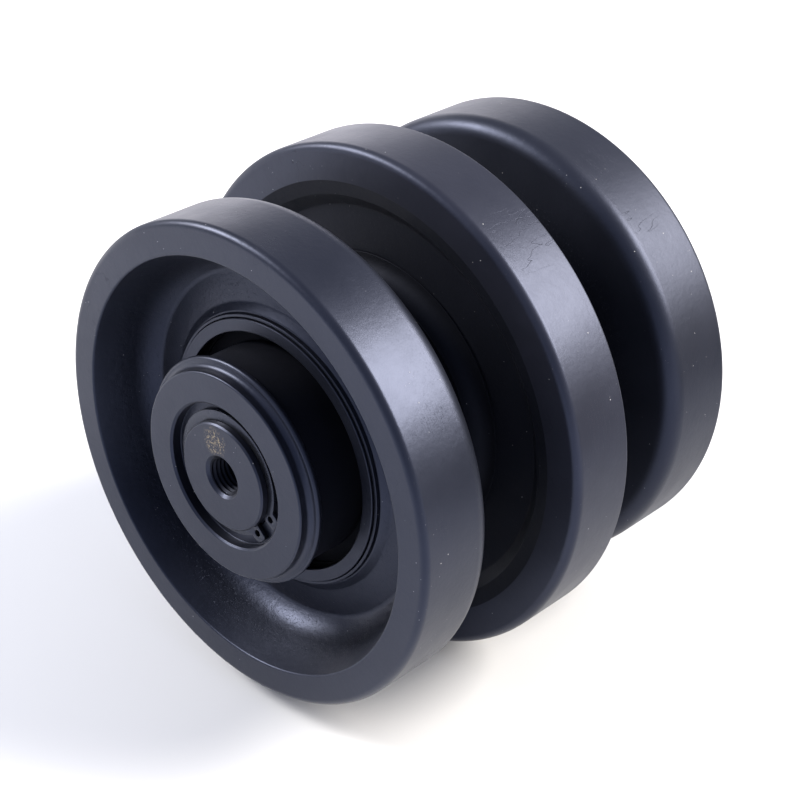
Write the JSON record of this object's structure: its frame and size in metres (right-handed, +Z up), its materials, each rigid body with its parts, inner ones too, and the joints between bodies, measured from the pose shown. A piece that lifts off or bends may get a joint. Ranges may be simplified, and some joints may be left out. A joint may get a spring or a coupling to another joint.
{
  "type": "track roller",
  "caption": "Bottom track roller with dished end wheels and a larger centre flange, turning on a fixed shaft with end collars.",
  "frame": {"origin": "middle of the roller, on its axis", "axes": "+Y along the roller's axis towards the right end, +Z up, the left end (-Y) is the end seen in front"},
  "size_m": [0.2174, 0.193, 0.2174],
  "materials": {
    "satin_black": "satin black paint over machined and forged steel",
    "black_oxide": "phosphated and oiled spring steel",
    "ground_steel": "ground and lapped steel",
    "bronze": "machined bronze",
    "rubber": "moulded rubber"
  },
  "bodies": {
    "axle": {"axle": "satin_black", "oil_plug": "ground_steel", "left_collar": "satin_black", "left_circlip": "black_oxide", "left_static_seal": "ground_steel", "left_static_toric": "rubber", "left_shaft_oring": "rubber", "right_collar": "satin_black", "right_circlip": "black_oxide", "right_static_seal": "ground_steel", "right_static_toric": "rubber", "right_shaft_oring": "rubber"},
    "roller": {"center_flange": "satin_black", "left_wheel": "satin_black", "left_weld": "satin_black", "left_seal_guard": "satin_black", "left_bushing": "bronze", "left_running_seal": "ground_steel", "left_running_toric": "rubber", "right_wheel": "satin_black", "right_weld": "satin_black", "right_seal_guard": "satin_black", "right_bushing": "bronze", "right_running_seal": "ground_steel", "right_running_toric": "rubber"}
  },
  "joints": [
    {"name": "roller_spin", "type": "hinge", "parent": "axle", "child": "roller", "pos_m": [0, 0, 0], "axis": [0, 1, 0], "continuous": true}
  ]
}
